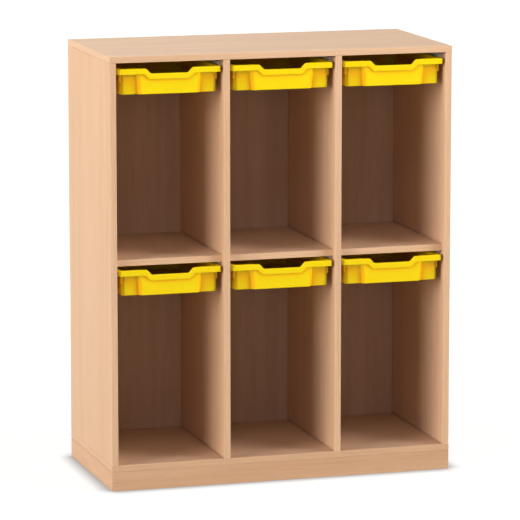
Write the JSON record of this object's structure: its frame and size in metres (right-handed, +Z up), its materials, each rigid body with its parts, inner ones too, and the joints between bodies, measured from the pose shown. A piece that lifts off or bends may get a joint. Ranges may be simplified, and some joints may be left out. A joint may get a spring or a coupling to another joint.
{
  "type": "school bag shelf",
  "caption": "Free-standing open school cabinet on a plinth: tall bays for bags, each with a shallow pull-out plastic tray on runners under its ceiling.",
  "frame": {"origin": "middle of the footprint, on the floor", "axes": "+Z up, -Y out of the open front, +X to the right for someone who faces the front"},
  "size_m": [1.045, 0.5, 1.28],
  "materials": {
    "beech_board": "satin melamine face with a beech print",
    "beech_back": "satin melamine face with a beech print, thin board",
    "beech_edging": "satin plastic edging in beech colour",
    "raw_wood": "sawn, uncoated",
    "yellow_plastic": "moulded, half gloss",
    "grey_plastic": "moulded, matt"
  },
  "bodies": {
    "cabinet": {"top_panel": "beech_board", "bottom_panel": "beech_board", "left_side_panel": "beech_board", "left_divider": "beech_board", "right_divider": "beech_board", "right_side_panel": "beech_board", "left_shelf": "beech_board", "middle_shelf": "beech_board", "right_shelf": "beech_board", "plinth_front_rail": "beech_board", "plinth_right_rail": "beech_board", "plinth_rear_rail": "beech_board", "plinth_left_rail": "beech_board", "plinth_cross_rail": "beech_board", "back_panel": "beech_back", "bottom_front_edging": "beech_edging", "bottom_left_edging": "beech_edging", "bottom_right_edging": "beech_edging", "top_front_edging": "beech_edging", "top_left_edging": "beech_edging", "top_right_edging": "beech_edging", "left_side_edging": "beech_edging", "left_divider_edging": "beech_edging", "right_divider_edging": "beech_edging", "right_side_edging": "beech_edging", "left_shelf_edging": "beech_edging", "middle_shelf_edging": "beech_edging", "right_shelf_edging": "beech_edging", "plinth_corner_blocks": "raw_wood", "carcass_tongues": "raw_wood", "shelf_tongues": "raw_wood", "lower_left_tray_left_runner": "grey_plastic", "lower_left_tray_right_runner": "grey_plastic", "lower_middle_tray_left_runner": "grey_plastic", "lower_middle_tray_right_runner": "grey_plastic", "lower_right_tray_left_runner": "grey_plastic", "lower_right_tray_right_runner": "grey_plastic", "upper_left_tray_left_runner": "grey_plastic", "upper_left_tray_right_runner": "grey_plastic", "upper_middle_tray_left_runner": "grey_plastic", "upper_middle_tray_right_runner": "grey_plastic", "upper_right_tray_left_runner": "grey_plastic", "upper_right_tray_right_runner": "grey_plastic"},
    "lower_left_tray": {"lower_left_tray": "yellow_plastic"},
    "lower_middle_tray": {"lower_middle_tray": "yellow_plastic"},
    "lower_right_tray": {"lower_right_tray": "yellow_plastic"},
    "upper_left_tray": {"upper_left_tray": "yellow_plastic"},
    "upper_middle_tray": {"upper_middle_tray": "yellow_plastic"},
    "upper_right_tray": {"upper_right_tray": "yellow_plastic"}
  },
  "joints": [
    {"name": "lower_left_tray_slide", "type": "slide", "parent": "cabinet", "child": "lower_left_tray", "axis": [0, -1, 0], "range_m": [0, 0.3]},
    {"name": "lower_middle_tray_slide", "type": "slide", "parent": "cabinet", "child": "lower_middle_tray", "axis": [0, -1, 0], "range_m": [0, 0.3]},
    {"name": "lower_right_tray_slide", "type": "slide", "parent": "cabinet", "child": "lower_right_tray", "axis": [0, -1, 0], "range_m": [0, 0.3]},
    {"name": "upper_left_tray_slide", "type": "slide", "parent": "cabinet", "child": "upper_left_tray", "axis": [0, -1, 0], "range_m": [0, 0.3]},
    {"name": "upper_middle_tray_slide", "type": "slide", "parent": "cabinet", "child": "upper_middle_tray", "axis": [0, -1, 0], "range_m": [0, 0.3]},
    {"name": "upper_right_tray_slide", "type": "slide", "parent": "cabinet", "child": "upper_right_tray", "axis": [0, -1, 0], "range_m": [0, 0.3]}
  ]
}
